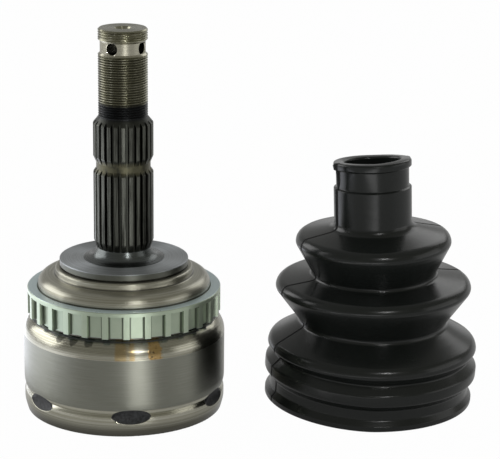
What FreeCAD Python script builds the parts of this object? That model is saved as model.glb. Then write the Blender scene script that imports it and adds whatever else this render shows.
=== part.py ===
import FreeCAD, Part
import math
import os

# Outer constant velocity joint of a front drive shaft, with its rubber boot standing beside it.
# Sizes are in mm. The origin is the point that the joint bends about, +Z runs up the stub axle.

# Balls and their tracks
ball_count = 6
ball_radius = 7.9375
ball_pitch_radius = 28.0
track_offset = 2.8
track_clearance = 0.22
track_clocking = 7.0
first_track_angle = -90.0
bend_limit = 45.0
track_run_out = 5.0
track_sweep = 62.0
track_pitch_radius = math.hypot(ball_pitch_radius, track_offset)
track_radius = ball_radius + track_clearance
ball_rest_angle = math.degrees(math.atan2(track_offset, ball_pitch_radius))

# Cage between the two races
cage_outer_margin = 3.3
cage_inner_margin = 1.0
cage_rim_width = 5.7
window_clearance = 0.35
window_side_clearance = 1.16
sphere_clearance = 0.2
cage_outer_radius = ball_pitch_radius + cage_outer_margin
cage_inner_radius = ball_pitch_radius - cage_inner_margin
window_half_height = ball_radius + window_clearance
window_half_width = ball_radius + window_side_clearance
cage_half_height = window_half_height + cage_rim_width
cavity_radius = cage_outer_radius + sphere_clearance
race_radius = cage_inner_radius - sphere_clearance

# Bell of the outer race, from its mouth up to the shoulder
bell_wall = 5.3125
bell_radius = ball_pitch_radius + ball_radius + bell_wall
mouth_height = -20.5
mouth_wall = 4.25
mouth_edge_chamfer = 0.8
lip_setback = 0.15
lip_height = 9.6
lip_belly_height = 4.1
lip_top_drop = 1.5
lip_foot_setback = 1.1
lip_rounding = 3.0
lip_belly_rounding = 9.0
lip_foot_rounding = 0.6
notch_depth = 0.95
band_edge_height = 2.3
band_edge_rounding = 11.5
shoulder_slope = 0.43
shoulder_roundness = 1.55
lip_radius = bell_radius - lip_setback
notch_radius = bell_radius - notch_depth
notch_height = mouth_height + lip_height

# Unmachined oval hollows round the lip, one in front of each ball track
hollow_drop = 1.1
hollow_depth = 1.3
hollow_half_height = 3.0
hollow_half_width = 8.0
hollow_tool_half_length = 9.0

# Toothed ring for the wheel speed sensor and its seat on the bell
ring_seat_height = 20.1
ring_seat_step = 6.0
ring_ledge_width = 1.1
ring_ledge_drop = 1.1
ring_wall = 4.25
ring_height = 11.0
ring_rim_height = 1.8
ring_edge_chamfer = 0.35
ring_tooth_count = 29
panel_depth = 1.75
panel_width = 5.2
panel_side_width = 0.5
front_rib_angle = -85.3
ring_seat_radius = bell_radius - ring_seat_step
ring_outer_radius = ring_seat_radius + ring_wall
ring_top = ring_seat_height + ring_height

# Dome, collar and thrust face on the back of the bell
dome_rise = 4.6
dome_rounding = 4.0
dome_foot_rise = 0.8
dome_foot_rounding = 1.2
collar_rise = 3.7
collar_step = 7.25
collar_rounding = 0.8
undercut_width = 0.9
undercut_depth = 1.45
disc_step = 1.75
disc_thickness = 2.5
disc_edge_rounding = 0.3
floor_thickness = 16.3
dome_height = ring_top + dome_rise
collar_radius = ring_seat_radius - collar_step
collar_top = dome_height + collar_rise
disc_radius = collar_radius - disc_step
disc_bottom = collar_top + undercut_width
thrust_height = disc_bottom + disc_thickness

# Stub axle, each length following the one below it
root_depth = 3.0
skirt_flare = 4.3
skirt_edge = 0.15
skirt_knee_flare = 0.5
skirt_knee_rise = 1.2
skirt_rounding = 4.0
skirt_height = 4.6
spline_tooth_count = 25
spline_radius = 12.15
tooth_height = 1.15
tooth_tip_share = 0.34
tooth_root_share = 0.26
spline_run_in = 3.3
lower_spline_length = 28.2
relief_run_in = 1.6
relief_width = 2.5
spline_end_length = 2.7
upper_spline_length = 13.4
thread_radius = 10.0
thread_length = 25.2
neck_depth = 0.83
neck_width = 6.2
end_thread_length = 4.3
end_chamfer = 0.5
skirt_radius = spline_radius + skirt_flare
spline_root_radius = spline_radius - tooth_height
spline_start = thrust_height + skirt_height
lower_spline_start = spline_start + spline_run_in
lower_spline_end = lower_spline_start + lower_spline_length
relief_bottom = lower_spline_end + relief_run_in
relief_top = relief_bottom + relief_width
upper_spline_start = relief_top + spline_end_length
upper_spline_end = upper_spline_start + upper_spline_length
thread_start = upper_spline_end + spline_end_length
neck_bottom = thread_start + thread_length
neck_top = neck_bottom + neck_width
thread_end = neck_top + end_thread_length

# Split pin holes across the neck and the centre drilling in the end of the stub axle
pin_hole_radius = 2.4
pin_hole_angle = 63.0
pin_sink_width = 0.6
pin_sink_depth = 0.6
centre_sink_radius = 3.4
centre_hole_radius = 1.5
centre_hole_depth = 4.4

# Inner race with its splined bore
race_half_height = 11.5
bore_tooth_count = 22
bore_tip_radius = 10.6
bore_tooth_height = 1.0
bore_chamfer = 1.0
groove_from_face = 2.5
groove_depth = 1.8
bore_root_radius = bore_tip_radius + bore_tooth_height
groove_radius = bore_root_radius + groove_depth
groove_height = groove_from_face - race_half_height

# Snap ring that holds the drive shaft in the inner race
snap_thickness = 1.5
snap_side_clearance = 0.05
snap_edge_clearance = 0.2
snap_bore_clearance = 0.3
snap_gap_width = 3.0
snap_gap_angle = 60.0
ear_width = 2.4
ear_length = 2.6
ear_clearance = 0.3
ear_hole_radius = 0.7
snap_inner_radius = bore_tip_radius + snap_bore_clearance
snap_outer_radius = groove_radius - snap_edge_clearance
ear_reach = groove_radius + ear_length
ear_half_spread = snap_gap_width / 2 + ear_width

# Rubber boot, standing on its wide end. Its heights follow one another up from the ground.
boot_standing_gap = 16.75
boot_y = 9.4
boot_wall = 2.4
boot_stretch = 2.0
boot_lip_flare = 1.7
boot_lip_height = 2.2
seat_run_in = 2.2
seat_width = 4.0
bead_flare = 2.5
bead_run_in = 2.8
bead_width = 4.2
waist_inset = 1.0
waist_rise = 3.4
low_fold_flare = 2.1
low_fold_rise = 3.8
low_valley_inset = 13.7
low_valley_rise = 7.6
middle_fold_flare = 10.7
middle_fold_rise = 14.8
middle_valley_inset = 15.7
middle_valley_rise = 1.6
top_fold_flare = 7.3
top_fold_rise = 14.0
fold_edge_width = 3.2
fold_edge_inset = 0.8
neck_foot_rise = 3.2
boot_neck_bore = 11.6
boot_neck_wall = 4.25
clamp_groove_depth = 1.0
clamp_groove_rise = 17.0
clamp_groove_width = 7.4
groove_side_slope = 0.6
neck_rim_height = 2.6
fold_rounding = 2.0
valley_rounding = 1.4
lining_rounding = 0.5
boot_edge_rounding = 0.5
boot_mouth_bore = lip_radius - boot_stretch
boot_seat_radius = boot_mouth_bore + boot_wall
bead_radius = boot_seat_radius + bead_flare
boot_neck_radius = boot_neck_bore + boot_neck_wall
boot_x = bell_radius + boot_standing_gap + bead_radius

z_axis = FreeCAD.Vector(0, 0, 1)
origin = FreeCAD.Vector(0, 0, 0)


def rounded_outline(corners):
    """Closed wire in the XZ plane. Each corner is its radius, its height and its rounding."""
    joints = []
    for index, (radius, height, rounding) in enumerate(corners):
        corner = FreeCAD.Vector(radius, 0, height)
        if rounding == 0:
            joints.append((corner, None, corner))
            continue
        last = corners[index - 1]
        following = corners[(index + 1) % len(corners)]
        back = (FreeCAD.Vector(last[0], 0, last[1]) - corner).normalize()
        ahead = (FreeCAD.Vector(following[0], 0, following[1]) - corner).normalize()
        half_angle = back.getAngle(ahead) / 2
        reach = rounding / math.tan(half_angle)
        inward = (back + ahead).normalize()
        middle = corner + inward * (rounding / math.sin(half_angle) - rounding)
        joints.append((corner + back * reach, middle, corner + ahead * reach))
    edges = []
    for index, (start, middle, finish) in enumerate(joints):
        if middle is not None:
            edges.append(Part.Arc(start, middle, finish).toShape())
        next_start = joints[(index + 1) % len(joints)][0]
        if finish.distanceToPoint(next_start) > 1e-6:
            edges.append(Part.makeLine(finish, next_start))
    return Part.Wire(edges)


def turned(corners):
    """Solid made by turning an outline of rounded corners about the Z axis."""
    return Part.Face(rounded_outline(corners)).revolve(origin, z_axis, 360)


def disc(radius, bottom, top):
    """Upright cylinder on the Z axis between two heights."""
    return Part.makeCylinder(radius, top - bottom, FreeCAD.Vector(0, 0, bottom))


def cone(bottom_radius, top_radius, bottom, top):
    """Upright cone on the Z axis between two heights."""
    return Part.makeCone(bottom_radius, top_radius, top - bottom, FreeCAD.Vector(0, 0, bottom))


def turn_to(shape, angle):
    """Copy of a shape turned about the Z axis."""
    copy = shape.copy()
    copy.rotate(origin, z_axis, angle)
    return copy


def around(shape, count, first_angle):
    """Copies of a shape at equal steps about the Z axis."""
    return [turn_to(shape, first_angle + step * 360 / count) for step in range(count)]


def toothed_prism(tooth_count, tip_radius, root_radius, bottom, top):
    """Prism with straight sided teeth that point away from the Z axis."""
    pitch = 2 * math.pi / tooth_count
    tip_half = pitch * tooth_tip_share / 2
    root_half = pitch * tooth_root_share / 2
    points = []
    for tooth in range(tooth_count):
        middle = tooth * pitch
        gap = middle + pitch / 2
        for angle, radius in (
            (middle - tip_half, tip_radius),
            (middle + tip_half, tip_radius),
            (gap - root_half, root_radius),
            (gap + root_half, root_radius),
        ):
            points.append(FreeCAD.Vector(radius * math.cos(angle), radius * math.sin(angle), bottom))
    points.append(points[0])
    return Part.Face(Part.makePolygon(points)).extrude(FreeCAD.Vector(0, 0, top - bottom))


def track_tool(centre_height, start_angle, end_angle):
    """Curved groove cutter in the XZ plane: a ball swept along its track, round at the far end."""
    centre = FreeCAD.Vector(0, 0, centre_height)
    start = math.radians(start_angle)
    along = FreeCAD.Vector(-math.sin(start), 0, math.cos(start))
    outward = FreeCAD.Vector(math.cos(start), 0, math.sin(start))
    ring = Part.Circle(centre + outward * track_pitch_radius, along, track_radius)
    section = Part.Face(Part.Wire(ring.toShape()))
    sweep = section.revolve(centre, FreeCAD.Vector(0, -1, 0), end_angle - start_angle)
    end = math.radians(end_angle)
    end_outward = FreeCAD.Vector(math.cos(end), 0, math.sin(end))
    far_end = Part.makeSphere(track_radius, centre + end_outward * track_pitch_radius)
    return sweep.fuse(far_end)


def make_hollow_tool():
    """Barrel lying across the +X side of the lip, which leaves an oval hollow."""
    barrel_radius = (hollow_half_height ** 2 + hollow_depth ** 2) / (2 * hollow_depth)
    lip_fall = lip_radius - math.sqrt(lip_radius ** 2 - hollow_half_width ** 2)
    end_drop = (hollow_depth - lip_fall) * (hollow_tool_half_length / hollow_half_width) ** 2
    axis_x = lip_radius - hollow_depth + barrel_radius
    hollow_height = notch_height - hollow_drop
    left = FreeCAD.Vector(axis_x - barrel_radius + end_drop, -hollow_tool_half_length, hollow_height)
    middle = FreeCAD.Vector(axis_x - barrel_radius, 0, hollow_height)
    right = FreeCAD.Vector(left.x, hollow_tool_half_length, hollow_height)
    left_axis = FreeCAD.Vector(axis_x, left.y, hollow_height)
    right_axis = FreeCAD.Vector(axis_x, right.y, hollow_height)
    outline = Part.Wire([
        Part.Arc(left, middle, right).toShape(),
        Part.makeLine(right, right_axis),
        Part.makeLine(right_axis, left_axis),
        Part.makeLine(left_axis, left),
    ])
    return Part.Face(outline).revolve(left_axis, FreeCAD.Vector(0, 1, 0), 360)


def make_outer_race():
    ledge_radius = ring_seat_radius + ring_ledge_width
    ledge_height = ring_seat_height - ring_ledge_drop
    shoulder_run = bell_radius - ledge_radius
    body = turned([
        (0, mouth_height, 0),
        (lip_radius - lip_foot_setback, mouth_height, lip_foot_rounding),
        (lip_radius, mouth_height + lip_belly_height, lip_belly_rounding),
        (lip_radius, notch_height - lip_top_drop, lip_rounding),
        (notch_radius, notch_height, 0),
        (bell_radius, notch_height + band_edge_height, band_edge_rounding),
        (bell_radius, ledge_height - shoulder_slope * shoulder_run, shoulder_roundness * shoulder_run),
        (ledge_radius, ledge_height, 0),
        (ledge_radius, ring_seat_height, 0),
        (ring_seat_radius, ring_seat_height, 0),
        (ring_seat_radius, dome_height, dome_rounding),
        (collar_radius, dome_height + dome_foot_rise, dome_foot_rounding),
        (collar_radius, collar_top, collar_rounding),
        (disc_radius - undercut_depth, collar_top, 0),
        (disc_radius - undercut_depth, disc_bottom, 0),
        (disc_radius, disc_bottom, 0),
        (disc_radius, thrust_height, disc_edge_rounding),
        (0, thrust_height, 0),
    ])
    cavity = Part.makeSphere(cavity_radius).common(
        disc(cavity_radius, -cavity_radius, thrust_height - floor_thickness))
    mouth_bore = bell_radius - mouth_wall
    mouth_depth = mouth_bore - cage_inner_radius
    mouth_cone = cone(mouth_bore, cage_inner_radius, mouth_height, mouth_height + mouth_depth)
    mouth_edge = cone(mouth_bore + mouth_edge_chamfer, mouth_bore,
                      mouth_height, mouth_height + mouth_edge_chamfer)
    root_socket = disc(skirt_radius, thrust_height - root_depth, thrust_height)
    body = body.cut([cavity, mouth_cone, mouth_edge, root_socket])
    far_angle = ball_rest_angle + bend_limit / 2 + track_run_out
    tool = track_tool(-track_offset, -track_sweep, far_angle)
    body = body.cut(around(tool, ball_count, first_track_angle))
    return body.cut(around(make_hollow_tool(), ball_count, first_track_angle))


def make_sensor_ring():
    ring = turned([
        (ring_seat_radius, ring_seat_height, 0),
        (ring_outer_radius, ring_seat_height, 0),
        (ring_outer_radius, ring_top - ring_edge_chamfer, 0),
        (ring_outer_radius - ring_edge_chamfer, ring_top, 0),
        (ring_seat_radius + ring_edge_chamfer, ring_top, 0),
        (ring_seat_radius, ring_top - ring_edge_chamfer, 0),
    ])
    floor = ring_outer_radius - panel_depth
    half_floor = panel_width / 2
    half_mouth = half_floor + panel_side_width
    beyond = ring_outer_radius + panel_depth
    half_beyond = half_mouth + panel_side_width
    plan = Part.makePolygon([
        FreeCAD.Vector(floor, -half_floor, ring_seat_height),
        FreeCAD.Vector(beyond, -half_beyond, ring_seat_height),
        FreeCAD.Vector(beyond, half_beyond, ring_seat_height),
        FreeCAD.Vector(floor, half_floor, ring_seat_height),
        FreeCAD.Vector(floor, -half_floor, ring_seat_height),
    ])
    panel = Part.Face(plan).extrude(FreeCAD.Vector(0, 0, ring_height - ring_rim_height))
    half_pitch = 180 / ring_tooth_count
    return ring.cut(around(panel, ring_tooth_count, front_rib_angle + half_pitch))


def make_stub_axle():
    neck_radius = thread_radius - neck_depth
    body = turned([
        (0, thrust_height - root_depth, 0),
        (skirt_radius, thrust_height - root_depth, 0),
        (skirt_radius, thrust_height + skirt_edge, 0),
        (spline_radius + skirt_knee_flare, thrust_height + skirt_knee_rise, skirt_rounding),
        (spline_root_radius, spline_start, 0),
        (spline_radius, lower_spline_start, 0),
        (spline_radius, lower_spline_end, 0),
        (spline_root_radius, relief_bottom, 0),
        (spline_root_radius, relief_top, 0),
        (spline_radius, upper_spline_start, 0),
        (spline_radius, upper_spline_end, 0),
        (thread_radius, thread_start, 0),
        (thread_radius, neck_bottom, 0),
        (neck_radius, neck_bottom + neck_depth, 0),
        (neck_radius, neck_top - neck_depth, 0),
        (thread_radius, neck_top, 0),
        (thread_radius, thread_end - end_chamfer, 0),
        (thread_radius - end_chamfer, thread_end, 0),
        (0, thread_end, 0),
    ])
    beyond = spline_radius + tooth_height
    blank = disc(beyond, spline_start, upper_spline_end + spline_end_length / 2)
    teeth = toothed_prism(spline_tooth_count, beyond, spline_root_radius,
                          spline_start, upper_spline_end + spline_end_length / 2)
    body = body.cut(blank.cut(teeth))
    sink_drop = (centre_sink_radius - centre_hole_radius) * math.sqrt(3)
    body = body.cut([
        disc(centre_hole_radius, thread_end - centre_hole_depth, thread_end),
        cone(centre_hole_radius, centre_sink_radius, thread_end - sink_drop, thread_end),
    ])
    pin_centre = FreeCAD.Vector(0, 0, neck_bottom + neck_width / 2)
    for angle in (pin_hole_angle, pin_hole_angle + 90):
        across = FreeCAD.Vector(math.cos(math.radians(angle)), math.sin(math.radians(angle)), 0)
        hole = Part.makeCylinder(pin_hole_radius, 2 * thread_radius,
                                 pin_centre - across * thread_radius, across)
        body = body.cut(hole)
        for side in (-1, 1):
            sink_start = pin_centre + across * side * (neck_radius - pin_sink_depth)
            sink = Part.makeCone(pin_hole_radius, pin_hole_radius + pin_sink_width, pin_sink_depth,
                                 sink_start, across * side)
            body = body.cut(sink)
    return body


def make_inner_race():
    ball_shape = Part.makeSphere(race_radius)
    body = ball_shape.common(disc(race_radius, -race_half_height, race_half_height))
    tool = track_tool(track_offset, -track_sweep, track_sweep)
    body = body.cut(around(tool, ball_count, first_track_angle))
    body = body.cut(toothed_prism(bore_tooth_count, bore_root_radius, bore_tip_radius,
                                  -race_half_height, race_half_height))
    wide = bore_root_radius + bore_chamfer
    chamfer_depth = wide - bore_tip_radius
    groove_half = snap_thickness / 2 + snap_side_clearance
    groove_top = groove_height + groove_half
    slot_half_width = ear_half_spread + ear_clearance
    slot = Part.makeBox(ear_reach + ear_clearance, 2 * slot_half_width, groove_top + race_half_height,
                        FreeCAD.Vector(0, -slot_half_width, -race_half_height))
    return body.cut([
        cone(wide, bore_tip_radius, -race_half_height, chamfer_depth - race_half_height),
        cone(bore_tip_radius, wide, race_half_height - chamfer_depth, race_half_height),
        disc(groove_radius, groove_height - groove_half, groove_top),
        turn_to(slot, snap_gap_angle),
    ])


def make_snap_ring():
    bottom = groove_height - snap_thickness / 2
    top = bottom + snap_thickness
    band = disc(snap_outer_radius, bottom, top).cut(disc(snap_inner_radius, bottom, top))
    gap = Part.makeBox(ear_reach, snap_gap_width, snap_thickness,
                       FreeCAD.Vector(0, -snap_gap_width / 2, bottom))
    band = band.cut(gap)
    ear_start = (snap_inner_radius + snap_outer_radius) / 2
    for side in (-1, 1):
        ear_middle = side * (snap_gap_width + ear_width) / 2
        ear = Part.makeBox(ear_reach - ear_start, ear_width, snap_thickness,
                           FreeCAD.Vector(ear_start, ear_middle - ear_width / 2, bottom))
        hole_place = FreeCAD.Vector(ear_reach - ear_width / 2, ear_middle, bottom)
        hole = Part.makeCylinder(ear_hole_radius, snap_thickness, hole_place)
        band = band.fuse(ear).cut(hole)
    return turn_to(band.removeSplitter(), snap_gap_angle)


def make_cage():
    shell = Part.makeSphere(cage_outer_radius).cut(Part.makeSphere(cage_inner_radius))
    shell = shell.common(disc(cage_outer_radius, -cage_half_height, cage_half_height))
    window = Part.makeBox(cage_outer_radius, 2 * window_half_width, 2 * window_half_height,
                          FreeCAD.Vector(0, -window_half_width, -window_half_height))
    return shell.cut(around(window, ball_count, first_track_angle))


def make_ball(index):
    angle = math.radians(first_track_angle + index * 360 / ball_count)
    place = FreeCAD.Vector(ball_pitch_radius * math.cos(angle), ball_pitch_radius * math.sin(angle), 0)
    return Part.makeSphere(ball_radius, place)


def inset(corners, distance):
    """Corners of a line that keeps a distance on the left of a run of corners, square at both ends."""
    runs = []
    for first, second in zip(corners, corners[1:]):
        length = math.hypot(second[0] - first[0], second[1] - first[1])
        runs.append(((second[0] - first[0]) / length, (second[1] - first[1]) / length))
    inner = []
    for index, (radius, height) in enumerate(corners):
        before = runs[max(index - 1, 0)]
        after = runs[min(index, len(runs) - 1)]
        share = distance / (1 + before[0] * after[0] + before[1] * after[1])
        inner.append((radius - share * (before[1] + after[1]), height + share * (before[0] + after[0])))
    return inner


def make_boot():
    """Moulded bellows: the outside is drawn fold by fold, and the inside keeps the wall even."""
    seat_bottom = boot_lip_height + seat_run_in
    seat_top = seat_bottom + seat_width
    bead_bottom = seat_top + bead_run_in
    bead_top = bead_bottom + bead_width
    waist_height = bead_top + waist_rise
    low_fold = waist_height + low_fold_rise
    low_valley = low_fold + fold_edge_width + low_valley_rise
    middle_fold = low_valley + middle_fold_rise
    middle_valley = middle_fold + fold_edge_width + middle_valley_rise
    top_fold = middle_valley + top_fold_rise
    neck_foot = top_fold + fold_edge_width + neck_foot_rise
    groove_bottom = neck_foot + clamp_groove_rise
    groove_top = groove_bottom + clamp_groove_width
    boot_height = groove_top + groove_side_slope + neck_rim_height

    low_fold_radius = boot_seat_radius + low_fold_flare
    low_valley_radius = low_fold_radius - low_valley_inset
    middle_fold_radius = low_valley_radius + middle_fold_flare
    middle_valley_radius = middle_fold_radius - middle_valley_inset
    top_fold_radius = middle_valley_radius + top_fold_flare
    groove_radius = boot_neck_radius - clamp_groove_depth

    folds = [
        (boot_seat_radius, seat_bottom, valley_rounding),
        (boot_seat_radius, seat_top, valley_rounding),
        (bead_radius, bead_bottom, valley_rounding),
        (bead_radius, bead_top, valley_rounding),
        (boot_seat_radius - waist_inset, waist_height, boot_edge_rounding),
        (low_fold_radius, low_fold, fold_rounding),
        (low_fold_radius - fold_edge_inset, low_fold + fold_edge_width, fold_rounding),
        (low_valley_radius, low_valley, valley_rounding),
        (middle_fold_radius, middle_fold, fold_rounding),
        (middle_fold_radius - fold_edge_inset, middle_fold + fold_edge_width, fold_rounding),
        (middle_valley_radius, middle_valley, valley_rounding),
        (top_fold_radius, top_fold, fold_rounding),
        (top_fold_radius - fold_edge_inset, top_fold + fold_edge_width, fold_rounding),
    ]
    lip = [
        (boot_seat_radius + boot_lip_flare, 0, boot_edge_rounding),
        (boot_seat_radius + boot_lip_flare, boot_lip_height, boot_edge_rounding),
    ]
    neck = [
        (boot_neck_radius, neck_foot, valley_rounding),
        (boot_neck_radius, groove_bottom - groove_side_slope, 0),
        (groove_radius, groove_bottom, 0),
        (groove_radius, groove_top, 0),
        (boot_neck_radius, groove_top + groove_side_slope, 0),
        (boot_neck_radius, boot_height, boot_edge_rounding),
        (boot_neck_bore, boot_height, boot_edge_rounding),
    ]
    neck_skin = boot_neck_bore + boot_wall
    skin = [(boot_seat_radius, 0)]
    skin += [(radius, height) for radius, height, _ in folds[1:]]
    skin += [(neck_skin, neck_foot), (neck_skin, boot_height)]
    inner_folds = inset(skin, boot_wall)[1:-1]
    lining = [(radius, height, lining_rounding) for radius, height in reversed(inner_folds)]
    mouth = [(boot_mouth_bore, 0, 0)]
    body = turned(lip + folds + neck + lining + mouth)
    body.translate(FreeCAD.Vector(boot_x, boot_y, mouth_height))
    return body


def main():
    os.makedirs("parts", exist_ok=True)
    clocked = {
        "outer_race": make_outer_race(),
        "inner_race": make_inner_race(),
        "snap_ring": make_snap_ring(),
        "cage": make_cage(),
    }
    for index in range(ball_count):
        clocked["ball_%d" % (index + 1)] = make_ball(index)
    nodes = {name: turn_to(shape, track_clocking) for name, shape in clocked.items()}
    nodes["stub_axle"] = make_stub_axle()
    nodes["abs_ring"] = make_sensor_ring()
    nodes["boot"] = make_boot()
    for name, shape in nodes.items():
        shape.exportStep("parts/%s.step" % name)


main()
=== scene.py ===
import math

import bmesh
import bpy
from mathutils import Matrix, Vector


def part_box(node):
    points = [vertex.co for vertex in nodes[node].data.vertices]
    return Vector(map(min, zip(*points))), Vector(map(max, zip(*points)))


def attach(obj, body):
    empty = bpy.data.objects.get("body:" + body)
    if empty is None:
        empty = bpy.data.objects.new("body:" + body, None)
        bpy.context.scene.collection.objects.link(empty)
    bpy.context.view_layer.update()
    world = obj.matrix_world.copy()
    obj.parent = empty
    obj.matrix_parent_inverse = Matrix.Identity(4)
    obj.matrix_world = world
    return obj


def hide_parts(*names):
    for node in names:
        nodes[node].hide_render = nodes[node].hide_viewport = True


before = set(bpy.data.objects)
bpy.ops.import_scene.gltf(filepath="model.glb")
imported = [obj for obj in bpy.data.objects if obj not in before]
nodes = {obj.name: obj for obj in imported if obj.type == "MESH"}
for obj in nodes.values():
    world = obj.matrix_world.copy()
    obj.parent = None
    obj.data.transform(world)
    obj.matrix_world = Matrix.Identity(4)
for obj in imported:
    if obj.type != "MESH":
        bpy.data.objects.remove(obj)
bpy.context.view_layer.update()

# The frame is in metres. Sizes below are written in millimetres and turned into metres with mm.
mm = 0.001
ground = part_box("outer_race")[0].z

# Places on the joint that its finishes and its finer pieces share with the solids. Angles are in
# degrees about the stub axle, from +X, so that the front is at -90.
first_track = 7.0 - 90.0
track_step = 60.0
ring_tooth_count = 29
first_rib = -85.3
thread_pitch = 1.0
thread_depth = 0.6
thread_radius = 10.0
thread_lengths = ((101.8, 127.0), (133.2, 137.0))
boot_x = 102.0
boot_y = 9.4
mould_line_angle = 18.0

# Sizes of the joint at which one finish ends and the next begins
lip_top = -9.4
band_top = 11.7
inside_top = 18.6
inside_radius = 37.9
shoulder_top = 19.6
ring_top = 31.0
ring_bore = 36.8
dome_top = 39.9
skirt_top = 47.6
spline_heights = (48.0, 100.5)
relief_heights = (79.6, 84.2)
oxide_heights = (101.4, 107.6)
neck_heights = (127.2, 133.0)


# Shader building

class Value:
    """A shader value with arithmetic: each operator adds its Math node."""

    def __init__(self, wiring, socket):
        self.wiring = wiring
        self.socket = socket

    def math(self, operation, first, second=0.0):
        return self.wiring.node("ShaderNodeMath", {"operation": operation}, {0: first, 1: second})

    def __add__(self, other):
        return self.math("ADD", self, other)

    __radd__ = __add__

    def __sub__(self, other):
        return self.math("SUBTRACT", self, other)

    def __rsub__(self, other):
        return self.math("SUBTRACT", other, self)

    def __mul__(self, other):
        return self.math("MULTIPLY", self, other)

    __rmul__ = __mul__

    def __truediv__(self, other):
        return self.math("DIVIDE", self, other)

    def above(self, limit):
        return self.math("GREATER_THAN", self, limit)

    def below(self, limit):
        return self.math("LESS_THAN", self, limit)

    def larger(self, other):
        return self.math("MAXIMUM", self, other)

    def root(self):
        return self.math("SQRT", self)

    def size(self):
        """The value without its sign."""
        return self.math("ABSOLUTE", self)

    def rise(self, start, end):
        """0 before start, 1 after end, smooth between them."""
        return self.wiring.node(
            "ShaderNodeMapRange", {"interpolation_type": "SMOOTHSTEP"},
            {"Value": self, "From Min": start, "From Max": end})

    def between(self, low, high, soft):
        """1 between two values, with soft edges."""
        return self.rise(low - soft, low + soft) * (1 - self.rise(high - soft, high + soft))

    def from_nearest(self, first, step):
        """Distance from the nearest of the places first, first + step and so on."""
        turns = (self - first) / step
        return (turns - self.math("ROUND", turns)) * step


class Wiring:
    """The nodes of one material or of the studio's world."""

    def __init__(self, tree):
        self.tree = tree

    def node(self, kind, settings, sockets, output=0):
        """Adds a node. Settings come first, then the values or links of its sockets."""
        made = self.tree.nodes.new(kind)
        for name, setting in settings.items():
            setattr(made, name, setting)
        for name, value in sockets.items():
            if isinstance(value, Value):
                self.tree.links.new(value.socket, made.inputs[name])
            else:
                made.inputs[name].default_value = value
        return Value(self, made.outputs[output])

    def split(self, vector):
        return [self.node("ShaderNodeSeparateXYZ", {}, {0: vector}, axis) for axis in range(3)]

    def vector(self, x, y, z):
        return self.node("ShaderNodeCombineXYZ", {}, {0: x, 1: y, 2: z})

    def noise(self, where, scale=1.0, detail=2.0, roughness=0.5):
        return self.node("ShaderNodeTexNoise", {},
                         {"Vector": where, "Scale": scale, "Detail": detail, "Roughness": roughness},
                         "Fac")

    def mix(self, factor, first, second):
        """Colour mix."""
        return self.node("ShaderNodeMix", {"data_type": "RGBA"}, {"Factor": factor, 6: first, 7: second}, 2)

    def shade(self, colour, level):
        """A colour made darker or lighter by a value."""
        return self.node("ShaderNodeVectorMath", {"operation": "SCALE"}, {0: colour, "Scale": level})

    def blend(self, factor, first, second):
        """Number mix."""
        return first + (second - first) * factor


class Finish(Wiring):
    """One material: its shader, its place on the part in mm, and what varies over the surface."""

    def __init__(self, name, **shader_values):
        self.material = bpy.data.materials.new(name)
        self.material.use_nodes = True
        super().__init__(self.material.node_tree)
        self.shader = self.tree.nodes["Principled BSDF"]
        for socket, value in shader_values.items():
            self.shader.inputs[socket.replace("_", " ")].default_value = value
        metres = self.node("ShaderNodeTexCoord", {}, {}, "Object")
        self.place = self.shade(metres, 1 / mm)
        self.x, self.y, self.z = self.split(self.place)

    def radius(self, centre_x=0.0, centre_y=0.0):
        """Distance from an upright axis in mm."""
        x = self.x - centre_x
        y = self.y - centre_y
        return (x * x + y * y).root()

    def angle(self, centre_x=0.0, centre_y=0.0):
        """Angle about an upright axis in degrees."""
        turn = self.node("ShaderNodeMath", {"operation": "ARCTAN2"},
                         {0: self.y - centre_y, 1: self.x - centre_x})
        return turn * (180 / math.pi)

    def grain(self, size, detail=2.0, roughness=0.5):
        """Noise whose features are about so many mm across."""
        return self.noise(self.place, 1 / size, detail, roughness)

    def feed(self, **sockets):
        for name, value in sockets.items():
            self.tree.links.new(value.socket, self.shader.inputs[name.replace("_", " ")])

    def bump(self, height, depth, strength=1.0):
        """Normal from a height between 0 and 1, whose full depth is given in mm."""
        return self.node("ShaderNodeBump", {},
                         {"Height": height, "Distance": depth * mm, "Strength": strength}, "Normal")


def rgb(red, green, blue):
    return (red, green, blue, 1.0)


# Finishes of the steel pieces

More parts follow.
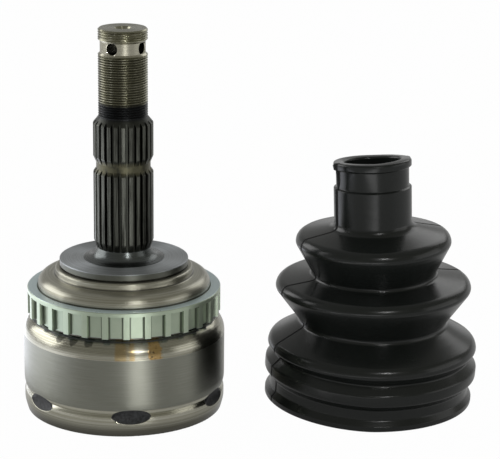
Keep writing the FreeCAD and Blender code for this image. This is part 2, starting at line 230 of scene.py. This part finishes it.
def bell_steel():
    """Ground band, turned lip, shoulder, dome and thrust face, forged hollows, and a dark inside."""
    steel = Finish("bell_steel", Metallic=1.0, Anisotropic=0.85, Anisotropic_Rotation=0.25)
    r = steel.radius()
    z = steel.z
    angle = steel.angle()
    inside = z.below(inside_top) * r.below(inside_radius)
    band = z.between(lip_top, band_top, 0.06) * (1 - inside)
    lip = z.below(lip_top) * (1 - inside)
    disc = z.above(dome_top)
    dome = z.between(ring_top, dome_top, 0.02)
    slow = steel.grain(26, 2.0)
    cloud = steel.grain(5, 4.0, 0.6)
    fine = steel.grain(0.5, 3.0, 0.6)
    ground_lines = steel.noise(steel.vector(angle * 0.05, 0.0, z * 7.0), 1.0, 4.0, 0.7)
    turned_lines = steel.noise(steel.vector(angle * 0.01, r * 3.4, z * 3.4), 1.0, 4.0, 0.65)
    face_rings = steel.noise(steel.vector(angle * 0.006, r * 2.6, 0.0), 1.0, 5.0, 0.75)

    # Turned lengths, the ground band and the thrust face
    turned = steel.mix(turned_lines.rise(0.36, 0.64), rgb(0.27, 0.262, 0.205), rgb(0.40, 0.392, 0.33))
    ground_steel = steel.mix(ground_lines.rise(0.3, 0.7), rgb(0.205, 0.208, 0.172), rgb(0.262, 0.266, 0.232))
    thrust_face = steel.mix(face_rings.rise(0.38, 0.62), rgb(0.235, 0.25, 0.255), rgb(0.40, 0.42, 0.44))
    colour = steel.mix(band, turned, ground_steel)
    colour = steel.mix(disc, colour, thrust_face)
    colour = steel.shade(colour, slow * 0.35 + 0.82)

    # Painted shade on the side edge of the thrust face, and painted light and shade on the lip: lighter at
    # its top and darker towards its foot
    disc_edge = z.between(40.2, 42.4, 0.1) * r.above(25.5)
    colour = steel.mix(disc_edge * 0.85, colour, rgb(0.10, 0.103, 0.08))
    colour = steel.shade(colour, 1 + lip * (z.rise(-19.5, -13.0) * 0.95 - 0.7))

    # Painted warm reflections on the shoulder: a straw coloured strip, and a brassy run at its right with
    # dark specks in it
    around = angle + 90
    tint_edge = steel.grain(2.2, 3.0, 0.6) * 3.2 - 1.6
    on_shoulder = z.between(band_top + 0.1, shoulder_top, 0.2) * (1 - inside)
    warm_strip_reflection = (around + tint_edge * 0.4).between(-2.0, 9.0, 0.6)
    warm_strip_reflection *= 1 - (around + tint_edge * 0.3).between(4.2, 6.2, 0.6) * 0.5
    run = (around + tint_edge * 1.4).between(17.0, 24.5, 0.6)
    colour = steel.mix(warm_strip_reflection * on_shoulder * 0.85, colour, rgb(0.34, 0.26, 0.13))
    colour = steel.mix(run * on_shoulder * cloud.rise(0.1, 0.5) * 0.8, colour, rgb(0.44, 0.28, 0.09))
    specks = steel.grain(0.9, 2.0).above(0.62) * (around + tint_edge).between(17.0, 25.0, 1.0) * on_shoulder
    colour = steel.mix(specks * 0.8, colour, rgb(0.05, 0.04, 0.025))

    # Three painted dark reflections of the ring's teeth, shaped as drops that hang below the ring at the left
    sideways = (around + tint_edge).from_nearest(-38.0, 10.0)
    below_ring = 18.6 - z + tint_edge * 0.7
    drop = sideways * sideways / 9.0 + below_ring * below_ring / 7.5
    painted_tooth_reflection = (1 - drop.rise(0.75, 1.05)) * around.between(-43.0, -13.0, 0.5)
    painted_tooth_reflection = painted_tooth_reflection * z.below(shoulder_top + 0.1) * r.above(36.5)
    colour = steel.mix(painted_tooth_reflection * 0.7, colour, rgb(0.04, 0.04, 0.033))

    # Painted shade in the corners where the ring, the undercut, the collar's foot and the ledge under the
    # ring meet the bell
    ring_corner = z.between(ring_top, ring_top + 0.7, 0.2) * r.above(34.9)
    undercut = z.between(39.3, 40.35, 0.1) * r.below(25.9)
    collar_foot = (z - 36.7).between(-0.3, 0.3, 0.2) * (r - 28.2).between(-0.3, 0.4, 0.2)
    ledge = z.between(18.9, 20.2, 0.1) * r.between(34.0, 36.6, 0.1)
    painted_shade = ring_corner + undercut + collar_foot + ledge
    colour = steel.mix(painted_shade * 0.8, colour, rgb(0.03, 0.03, 0.026))

    # Forged skin in the oval hollows, which lie over the ball tracks
    bell_radius = 41.0
    hollow_height = -12.0
    hollow_half_width = 8.05
    hollow_half_height = 3.05
    arc = angle.from_nearest(first_track, track_step) * (bell_radius * math.pi / 180)
    across = arc / hollow_half_width
    upward = (z - hollow_height) / hollow_half_height
    oval = across * across + upward * upward
    hollow = (oval + (fine - 0.5) * 0.16).below(0.97) * (1 - inside) * r.below(bell_radius)
    scale = steel.grain(1.3, 4.0, 0.7).rise(0.3, 0.7)
    skin = steel.mix(scale, rgb(0.014, 0.0145, 0.015), rgb(0.045, 0.047, 0.050))
    colour = steel.mix(hollow, colour, skin)

    # Hardened inside with its ball tracks
    inner_skin = steel.mix(cloud, rgb(0.10, 0.10, 0.098), rgb(0.19, 0.19, 0.18))
    colour = steel.mix(inside, colour, inner_skin)

    roughness = steel.blend(band, turned_lines * 0.12 + 0.15, ground_lines * 0.1 + 0.30)
    roughness = steel.blend(lip, roughness, turned_lines * 0.12 + 0.14)
    roughness = steel.blend(dome, roughness, turned_lines * 0.12 + 0.24)
    roughness = steel.blend(disc, roughness, face_rings * 0.14 + 0.36)
    roughness = steel.blend(hollow, roughness, 0.52 + 0.1 * cloud)
    roughness = steel.blend(inside, roughness, 0.30 + 0.15 * cloud)
    height = steel.blend(band, turned_lines, ground_lines)
    height = steel.blend(disc, height, face_rings)
    height = steel.blend(hollow, height, cloud * 6)
    metal = 1 - hollow * 0.55 - (disc + dome) * 0.16
    steel.feed(Base_Color=colour, Roughness=roughness, Metallic=metal,
               Normal=steel.bump(height, 0.035, 1.0))
    return steel


def zinc_plate():
    """Pale greenish zinc on the sensor ring, bluer and smoother on its faces, with painted shade in the
    windows.
    """
    zinc = Finish("zinc_plate", Anisotropic=0.5, Anisotropic_Rotation=0.25)
    r = zinc.radius()
    z = zinc.z
    angle = zinc.angle()
    face = z.above(ring_top) + z.below(20.15)
    cloud = zinc.grain(7, 4.0, 0.6)
    grain = zinc.grain(0.45, 3.0, 0.6)
    rings = zinc.noise(zinc.vector(angle * 0.006, r * 3.0, z * 1.4), 1.0, 4.0, 0.7)
    colour = zinc.mix(cloud, rgb(0.34, 0.41, 0.315), rgb(0.47, 0.54, 0.42))
    colour = zinc.mix(face, colour, zinc.mix(rings, rgb(0.42, 0.53, 0.545), rgb(0.60, 0.70, 0.72)))

    # Painted shade along the sides and the top of each window between the teeth, and over the recessed
    # windows
    ring_radius = 39.5
    window_top = 29.5
    tooth = 360 / ring_tooth_count
    arc = angle.from_nearest(first_rib + tooth / 2, tooth) * (ring_radius * math.pi / 180)
    outside = r.above(ring_bore)
    recessed = r.below(39.3) * z.below(window_top) * outside
    side_line = arc.size().between(2.35, 2.9, 0.1) * z.below(29.4) * outside
    top_line = z.between(28.85, window_top, 0.1) * arc.size().below(3.1) * outside * r.below(39.4)
    colour = zinc.mix(side_line.larger(top_line) * 0.72, colour, rgb(0.05, 0.058, 0.045))
    colour = zinc.shade(colour, 1 - recessed * 0.14)
    zinc.feed(Base_Color=colour, Metallic=0.72 - face * 0.3, Roughness=cloud * 0.14 + 0.27 - face * 0.04,
              Normal=zinc.bump(zinc.blend(face, grain, rings), 0.03, 1.0))
    return zinc


def stub_steel():
    """Dark phosphated splines worn on their tips, bright cut thread and neck, black below the thread."""
    steel = Finish("stub_steel", Metallic=1.0, Anisotropic=0.6, Anisotropic_Rotation=0.25)
    r = steel.radius()
    z = steel.z
    angle = steel.angle()
    cloud = steel.grain(3.5, 4.0, 0.6)
    fine = steel.grain(0.4, 3.0, 0.6)
    streaks = steel.noise(steel.vector(steel.x * 1.6, steel.y * 1.6, z * 0.06), 1.0, 4.0, 0.65)
    rings = steel.noise(steel.vector(angle * 0.01, r * 2.0, z * 3.0), 1.0, 4.0, 0.7)

    # Dark splines worn on their tips, bare metal in the relief, and a turned root skirt
    phosphate = steel.mix(cloud, rgb(0.022, 0.023, 0.020), rgb(0.050, 0.052, 0.044))
    tip = r.rise(11.75, 12.1) * streaks.rise(0.36, 0.62) * z.between(*spline_heights, 0.8)
    colour = steel.mix(tip * 0.75, phosphate, rgb(0.15, 0.155, 0.135))
    relief = z.between(*relief_heights, 0.9)
    colour = steel.mix(relief * cloud.rise(0.25, 0.6), colour, rgb(0.105, 0.10, 0.065))
    skirt = z.below(skirt_top)
    colour = steel.mix(skirt, colour, steel.mix(rings, rgb(0.060, 0.066, 0.064), rgb(0.13, 0.14, 0.14)))

    # Bright thread and neck above a ragged edge, and black oxide below it
    cut = (z + cloud * 2.4 - 1.2).rise(106.6, 108.6)
    bright = steel.mix(rings.rise(0.35, 0.65), rgb(0.20, 0.195, 0.135), rgb(0.33, 0.32, 0.25))
    # Painted shade in the roots of the thread
    root = r.below(9.75) * z.between(102, 126.6, 0.2)
    bright = steel.mix(root * 0.75, bright, rgb(0.045, 0.043, 0.028))
    neck = z.between(*neck_heights, 0.2)
    bright = steel.mix(neck, bright, rgb(0.37, 0.355, 0.285))
    colour = steel.mix(cut, colour, bright)
    black = z.between(*oxide_heights, 0.7) * (1 - cut)
    colour = steel.mix(black, colour, rgb(0.022, 0.023, 0.024))

    # Painted shade in the centre drilling and the pin holes, and a painted highlight on the chamfers round
    # the pin holes
    centre_hole = (1 - r.rise(1.6, 2.1)) * z.above(132.6)
    pin_hole = neck * (1 - r.rise(8.2, 8.7))
    colour = steel.mix(centre_hole.larger(pin_hole) * 0.8, colour, rgb(0.04, 0.038, 0.03))
    pin_chamfer = neck * r.between(8.72, 9.1, 0.06)
    colour = steel.mix(pin_chamfer, colour, rgb(0.68, 0.66, 0.56))

    roughness = steel.blend(cut, 0.30 + 0.22 * cloud, 0.20 + 0.14 * rings)
    roughness = steel.blend(skirt, roughness, 0.20 + 0.16 * rings)
    height = steel.blend(z.above(101.8), streaks * 0.5 + fine * 0.5, rings)
    steel.feed(Base_Color=colour, Roughness=roughness, Normal=steel.bump(height, 0.03, 1.0))
    return steel


def race_steel():
    """Hardened inner race: ground tracks and lands, darker splined bore."""
    steel = Finish("race_steel", Metallic=1.0)
    cloud = steel.grain(6, 4.0, 0.6)
    r = steel.radius()
    lines = steel.noise(steel.vector(steel.angle() * 0.03, r * 3.0, steel.z * 5.0), 1.0, 4.0, 0.7)
    bore = 1 - r.rise(11.8, 12.4)
    colour = steel.mix(cloud, rgb(0.20, 0.20, 0.19), rgb(0.33, 0.33, 0.31))
    colour = steel.mix(bore, colour, rgb(0.13, 0.125, 0.105))
    steel.feed(Base_Color=colour, Roughness=cloud * 0.14 + 0.2 + lines * 0.1,
               Normal=steel.bump(lines, 0.02, 0.8))
    return steel


def cage_steel():
    """Case hardened cage, dark brown to grey, brighter where the balls press its windows."""
    steel = Finish("cage_steel", Metallic=1.0)
    cloud = steel.grain(4, 4.0, 0.65)
    fine = steel.grain(0.5, 3.0)
    window = steel.z.size().between(7.6, 8.8, 0.3)
    colour = steel.mix(cloud, rgb(0.085, 0.078, 0.065), rgb(0.17, 0.16, 0.14))
    colour = steel.mix(window * 0.6, colour, rgb(0.34, 0.34, 0.32))
    steel.feed(Base_Color=colour, Roughness=cloud * 0.16 + 0.28, Normal=steel.bump(fine, 0.02, 0.8))
    return steel


def ball_steel():
    """Polished bearing balls with a faint band where they roll."""
    steel = Finish("ball_steel", Metallic=1.0)
    haze = steel.grain(5, 3.0)
    rolled = steel.z.size().between(-0.1, 1.6, 0.6)
    colour = steel.mix(haze, rgb(0.62, 0.62, 0.60), rgb(0.74, 0.74, 0.73))
    colour = steel.mix(rolled * 0.35, colour, rgb(0.42, 0.41, 0.38))
    steel.feed(Base_Color=colour, Roughness=haze * 0.06 + 0.05 + rolled * 0.06,
               Normal=steel.bump(steel.grain(0.6), 0.004, 0.6))
    return steel


def spring_steel():
    """Blued spring steel of the snap ring."""
    steel = Finish("spring_steel", Metallic=1.0)
    cloud = steel.grain(2.5, 4.0, 0.6)
    fine = steel.grain(0.3, 3.0)
    colour = steel.mix(cloud, rgb(0.045, 0.048, 0.058), rgb(0.10, 0.10, 0.105))
    steel.feed(Base_Color=colour, Roughness=cloud * 0.15 + 0.26, Normal=steel.bump(fine, 0.015, 0.8))
    return steel


# Finish of the boot

def boot_rubber():
    """Moulded black rubber: dull bloom, faint flow marks, and the line where the mould halves met."""
    rubber = Finish("boot_rubber", Specular_IOR_Level=0.3)
    height = rubber.z - ground / mm
    x = rubber.x - boot_x
    y = rubber.y - boot_y
    turn = math.radians(mould_line_angle)
    off_line = y * math.cos(turn) - x * math.sin(turn)
    cloud = rubber.grain(14, 4.0, 0.6)
    fine = rubber.grain(0.35, 3.0, 0.6)
    flow = rubber.noise(rubber.vector(rubber.angle(boot_x, boot_y) * 0.02, height * 0.5, 0.0), 1.0, 3.0)
    outside = rubber.radius(boot_x, boot_y).above(15.0)
    line = (off_line + (fine - 0.5) * 0.25).size()
    seam = (1 - line.rise(0.45, 0.95)) * outside
    colour = rubber.mix(cloud, rgb(0.0070, 0.0084, 0.0079), rgb(0.0112, 0.0132, 0.0122))
    dust = rubber.grain(1.1, 4.0, 0.7).rise(0.62, 0.86) * 0.35
    colour = rubber.mix(dust, colour, rgb(0.018, 0.018, 0.016))
    colour = rubber.mix(seam, colour, rgb(0.001, 0.001, 0.001))
    roughness = 0.16 + 0.10 * cloud + 0.04 * flow + seam * 0.55
    relief = fine * 0.03 + flow * 0.2 + (1 - line.rise(0.1, 0.7)) * outside * -1.6
    rubber.feed(Base_Color=colour, Roughness=roughness, Normal=rubber.bump(relief, 0.28, 0.9))
    return rubber


def put(finish, *names):
    """Gives solids their finish."""
    for name in names:
        nodes[name].data.materials.clear()
        nodes[name].data.materials.append(finish.material)


# Fine pieces that stand for plainer solids

def join_stub_axle(finish):
    """Stub axle with its real thread: the plain lengths of the solid give way to helical ones."""
    mesh = nodes["stub_axle"].data.copy()
    work = bmesh.new()
    work.from_mesh(mesh)
    tolerance = 0.02

    def on_plain_length(vertex):
        radius = math.hypot(vertex.co.x, vertex.co.y) / mm
        height = vertex.co.z / mm
        return abs(radius - thread_radius) < tolerance and any(
            low - tolerance < height < high + tolerance for low, high in thread_lengths)

    plain = [face for face in work.faces if all(on_plain_length(vertex) for vertex in face.verts)]
    bmesh.ops.delete(work, geom=plain, context="FACES")
    for low, high in thread_lengths:
        cut_thread(work, low, high)
    work.to_mesh(mesh)
    work.free()
    piece = bpy.data.objects.new("threaded_stub_axle", mesh)
    bpy.context.scene.collection.objects.link(piece)
    mesh.shade_smooth()
    mesh.set_sharp_from_angle(angle=math.radians(35))
    mesh.materials.clear()
    mesh.materials.append(finish.material)
    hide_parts("stub_axle")
    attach(piece, "housing")


def cut_thread(work, low, high):
    """Adds one threaded length between two heights in mm, running out at both ends."""
    bruise_turn = math.radians(250)
    bruise_height = 136.6
    bruise_depth = 0.55
    columns = 96
    rows = round((high - low) / thread_pitch * 10)
    last_ring = None
    for row in range(rows + 1):
        height = low + (high - low) * row / rows
        fade = min(1.0, (height - low) / (0.8 * thread_pitch), (high - height) / (0.3 * thread_pitch))
        ring = []
        for column in range(columns):
            turn = 2 * math.pi * column / columns
            phase = (height / thread_pitch - column / columns) % 1
            from_crest = abs(phase - 0.5) * 2
            flank = min(max((from_crest - 0.12) / 0.7, 0.0), 1.0)
            bruise = math.exp(-((turn - bruise_turn) / 0.1) ** 2 - ((height - bruise_height) / 0.5) ** 2)
            radius = thread_radius - thread_depth * flank * fade - bruise_depth * bruise
            x = radius * math.cos(turn)
            y = radius * math.sin(turn)
            ring.append(work.verts.new((x * mm, y * mm, height * mm)))
        if last_ring:
            for column in range(columns):
                following = (column + 1) % columns
                work.faces.new((last_ring[column], last_ring[following], ring[following], ring[column]))
        last_ring = ring


def rounded_line(corners, steps):
    """Points along a line of (radius, height, rounding) corners, with each rounding as a short arc."""
    points = []
    for index, (radius, height, rounding) in enumerate(corners):
        corner = Vector((radius, height))
        if rounding == 0:
            points.append(corner)
            continue
        back = (Vector(corners[index - 1][:2]) - corner).normalized()
        ahead = (Vector(corners[(index + 1) % len(corners)][:2]) - corner).normalized()
        half = back.angle(ahead) / 2
        centre = corner + (back + ahead).normalized() * (rounding / math.sin(half))
        start = corner + back * (rounding / math.tan(half)) - centre
        finish = corner + ahead * (rounding / math.tan(half)) - centre
        sweep = start.angle_signed(finish)
        for step in range(steps + 1):
            turn = -sweep * step / steps
            points.append(centre + Vector((
                start.x * math.cos(turn) - start.y * math.sin(turn),
                start.x * math.sin(turn) + start.y * math.cos(turn))))
    return points


def along(height, stops):
    """Value at a height, straight between its (height, value) stops."""
    for (low, first), (high, second) in zip(stops, stops[1:]):
        if height <= high:
            return first + (second - first) * max(0.0, height - low) / (high - low)
    return stops[-1][1]


def inner_line(corners, wall):
    """The inside of a run of (radius, height) corners, a wall's thickness in from it."""
    runs = [(Vector(second) - Vector(first)).normalized() for first, second in zip(corners, corners[1:])]
    inside = []
    for index, corner in enumerate(corners):
        before = runs[max(index - 1, 0)]
        after = runs[min(index, len(runs) - 1)]
        share = wall / (1 + before.dot(after))
        inside.append((corner[0] - share * (before.y + after.y), corner[1] + share * (before.x + after.x)))
    return inside


def make_boot(finish):
    """Rubber boot with its folds rounded, its rim and mouth slack, and flash along the mould line."""
    # Corners of the outside from the ground up, each with its radius, height and rounding
    lip = [(43.2, 0.0, 0.6), (43.2, 2.2, 0.6)]
    folds = [
        (41.5, 4.4, 1.6), (41.5, 8.4, 1.6), (44.0, 11.2, 1.7), (44.0, 15.4, 1.7), (40.5, 18.8, 0.7),
        (43.6, 22.6, 2.0), (42.8, 25.8, 4.0), (29.9, 33.4, 1.8),
        (40.6, 48.0, 2.0), (39.9, 51.6, 3.7), (24.9, 53.4, 1.5),
        (32.2, 66.8, 2.0), (31.5, 70.3, 3.8),
    ]
    neck = [
        (16.0, 73.4, 3.2), (16.0, 89.9, 0.3), (14.95, 90.4, 0.3), (14.95, 97.8, 0.3), (16.0, 98.3, 0.4),
        (16.0, 101.0, 0.9), (11.6, 101.0, 0.9),
    ]

    # The lining runs back down to the mouth, a wall's thickness inside the folds
    wall = 2.4
    lining_rounding = 0.5
    mouth = (39.1, 0.0, 0)
    skin = [(41.5, 0.0)] + [corner[:2] for corner in folds[1:]] + [(14.0, 73.4), (14.0, 101.0)]
    lining = [(radius, height, lining_rounding)
              for radius, height in reversed(inner_line(skin, wall)[1:-1])]
    outline = rounded_line(lip + folds + neck + lining + [mouth], 5)

    columns = 240
    work = bmesh.new()
    rings = []
    for point in outline:
        ring = []
        for column in range(columns):
            turn = 2 * math.pi * column / columns
            x, y, z = slacken(point.x, point.y, turn)
            ring.append(work.verts.new(((boot_x + x) * mm, (boot_y + y) * mm, ground + z * mm)))
        rings.append(ring)
    for index, ring in enumerate(rings):
        upper = rings[(index + 1) % len(rings)]
        for column in range(columns):
            following = (column + 1) % columns
            work.faces.new((ring[column], ring[following], upper[following], upper[column]))
    mesh = bpy.data.meshes.new("moulded_boot")
    work.to_mesh(mesh)
    work.free()
    mesh.shade_smooth()
    mesh.materials.append(finish.material)
    piece = bpy.data.objects.new("moulded_boot", mesh)
    bpy.context.scene.collection.objects.link(piece)
    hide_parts("boot")
    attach(piece, "boot")


def slacken(radius, height, turn):
    """Where a point of the true boot lies on the slack one, in mm from its foot on the ground."""
    to_right = math.cos(turn)
    to_back = math.sin(turn)

    # Lift at the left, the right and the back, and shift to the right, at heights above the ground
    left = max(0.0, -to_right) ** 1.2
    right = max(0.0, to_right) ** 1.2
    lift = left * along(height, [(0, 2.1), (8, 2.5), (14, 2.8), (24, 1.4), (34, 0.6), (50, 0.2), (101, -0.6)])
    lift += right * along(height, [(0, 0.0), (24, 0.2), (50, 0.7), (69, 1.2), (92, 0.8), (101, 1.4)])
    lift -= to_back * along(height, [(0, 0.0), (80, 0.0), (101, 1.5)])
    lift += along(height, [(0, 0.0), (55, 0.0), (70, 0.6), (90, 1.1), (101, 1.1)])
    shift = along(height, [(0, -0.5), (8, 0.0), (14, 0.5), (24, 0.9), (60, 0.8), (76, 0.0), (101, -0.9)])
    set_back = 1.4

    # Flash that the mould left along the neck and at its rim
    line = math.radians(mould_line_angle)
    lining_radius = 14.5
    neck_foot = 74
    flash = 0.0
    if radius > lining_radius and height > neck_foot:
        for side in (line, line + math.pi):
            off = math.remainder(turn - side, 2 * math.pi) * radius
            near_rim = min(max((height - 95.5) / 2.0, 0.0), 1.0)
            flash += near_rim * 0.6 * math.exp(-((off / 1.9) ** 2))
            if side > math.pi:
                ragged = 0.5 + 0.5 * math.sin(height * 1.9) * math.sin(height * 0.7 + 1)
                flash += (0.25 + 0.4 * ragged) * math.exp(-((off / 0.45) ** 2))
    radius += flash
    return radius * to_right + shift, radius * to_back + set_back, height + lift


rubber = boot_rubber()
stub = stub_steel()
put(bell_steel(), "outer_race")
put(zinc_plate(), "abs_ring")
put(stub, "stub_axle")
put(rubber, "boot")
put(race_steel(), "inner_race")
put(cage_steel(), "cage")
put(spring_steel(), "snap_ring")
put(ball_steel(), "ball_1", "ball_2", "ball_3", "ball_4", "ball_5", "ball_6")
join_stub_axle(stub)
make_boot(rubber)


# Studio

camera_x = 51.4 * mm
camera_back = 850 * mm
camera_height = 318 * mm
camera_pitch = math.radians(15.94)
camera_roll = math.radians(0.62)
camera_lens = 156.3
lamp_target = Vector((31 * mm, 0, 25 * mm))
strip_height = 1 * mm
floor_size = 8.0
floor_gap = 0.02 * mm


def make_camera():
    data = bpy.data.cameras.new("camera")
    camera = bpy.data.objects.new("camera", data)
    bpy.context.scene.collection.objects.link(camera)
    data.lens = camera_lens
    data.sensor_width = 36.0
    data.clip_start = 0.05
    data.clip_end = 50.0
    camera.location = (camera_x, -camera_back, ground + camera_height)
    camera.rotation_euler = (math.pi / 2 - camera_pitch, 0, 0)
    camera.rotation_euler.rotate_axis("Z", camera_roll)
    bpy.context.scene.camera = camera


def soft_lamp(name, bearing, elevation, distance, width, height, watts):
    """Soft box that faces the part. Its bearing is in degrees from the camera's side, to the right."""
    turn = math.radians(bearing)
    rise = math.radians(elevation)
    way = Vector((math.sin(turn) * math.cos(rise), -math.cos(turn) * math.cos(rise), math.sin(rise)))
    data = bpy.data.lights.new(name, "AREA")
    data.shape = "RECTANGLE"
    data.size = width
    data.size_y = height
    data.energy = watts
    lamp = bpy.data.objects.new(name, data)
    bpy.context.scene.collection.objects.link(lamp)
    lamp.location = lamp_target + way * distance
    lamp.rotation_euler = (-way).to_track_quat("-Z", "Y").to_euler()
    lamp.visible_camera = False


def floor_lamp(name, bearing, near, far, width, strength, colour=(1.0, 1.0, 1.0)):
    """Light strip that lies on the floor and faces up, from near to far away from the stub axle."""
    turn = math.radians(bearing)
    reach = (near + far) / 2
    data = bpy.data.lights.new(name, "AREA")
    data.shape = "RECTANGLE"
    data.size = width
    data.size_y = far - near
    data.energy = math.pi * width * (far - near) * strength
    data.color = colour
    lamp = bpy.data.objects.new(name, data)
    bpy.context.scene.collection.objects.link(lamp)
    lamp.location = (math.sin(turn) * reach, -math.cos(turn) * reach, ground + strip_height)
    lamp.rotation_euler = (math.pi, 0, turn)
    lamp.visible_camera = False


def make_floor():
    """Pale floor that shows as white and keeps the part's shadow."""
    bpy.ops.mesh.primitive_plane_add(size=floor_size, location=(camera_x, 0, ground - floor_gap))
    floor = bpy.context.object
    floor.name = "floor"
    white_to_camera = 0.985
    white_in_mirrors = 0.4
    pale = Finish("pale_floor", Roughness=0.9, Base_Color=rgb(0.5, 0.5, 0.5))
    seen = pale.node("ShaderNodeLightPath", {}, {}, "Is Camera Ray")
    mirrored = pale.node("ShaderNodeLightPath", {}, {}, "Is Glossy Ray")
    through = pale.node("ShaderNodeLightPath", {}, {}, "Is Transmission Ray")
    share = seen * white_to_camera + (mirrored + through) * white_in_mirrors
    white = pale.node("ShaderNodeEmission", {}, {"Color": rgb(1, 1, 1), "Strength": 1.0})
    both = pale.node("ShaderNodeMixShader", {}, {0: share, 1: Value(pale, pale.shader.outputs[0]), 2: white})
    pale.tree.links.new(both.socket, pale.tree.nodes["Material Output"].inputs["Surface"])
    floor.data.materials.append(pale.material)


def make_world():
    """Dim studio room with a paler band at the horizon. The camera sees it all as plain white."""
    world = bpy.data.worlds.new("studio")
    bpy.context.scene.world = world
    world.use_nodes = True
    room = Wiring(world.node_tree)
    way = room.node("ShaderNodeTexCoord", {}, {}, "Generated")
    x, y, z = room.split(way)
    dim = room.mix((y - x * 0.6).rise(-0.9, 0.9), rgb(0.30, 0.296, 0.26), rgb(0.38, 0.38, 0.37))
    colour = room.mix(z.rise(0.04, 0.18), rgb(0.7, 0.7, 0.7), dim)
    seen = room.node("ShaderNodeLightPath", {}, {}, "Is Camera Ray")
    colour = room.mix(seen, colour, rgb(1, 1, 1))
    background = world.node_tree.nodes["Background"]
    world.node_tree.links.new(colour.socket, background.inputs["Color"])
    background.inputs["Strength"].default_value = 1.0


make_camera()
make_floor()
make_world()
soft_lamp("left_lamp", bearing=-108, elevation=22, distance=1.1, width=1.0, height=0.6, watts=5.5)
soft_lamp("high_lamp", bearing=18, elevation=34, distance=1.25, width=0.12, height=0.08, watts=2.2)
soft_lamp("back_lamp", bearing=148, elevation=30, distance=1.2, width=0.6, height=0.5, watts=1.2)
soft_lamp("right_lamp", bearing=85, elevation=14, distance=1.2, width=1.0, height=0.6, watts=1.6)
floor_lamp("near_strip", bearing=16.5, near=0.065, far=0.2, width=0.026, strength=2.2)
floor_lamp("far_strip", bearing=15.5, near=0.2, far=1.0, width=0.15, strength=2.3)
floor_lamp("left_strip", bearing=-108, near=0.07, far=0.36, width=0.34, strength=1.5,
           colour=(0.93, 0.96, 1.08))

bpy.context.scene.view_settings.view_transform = "Standard"
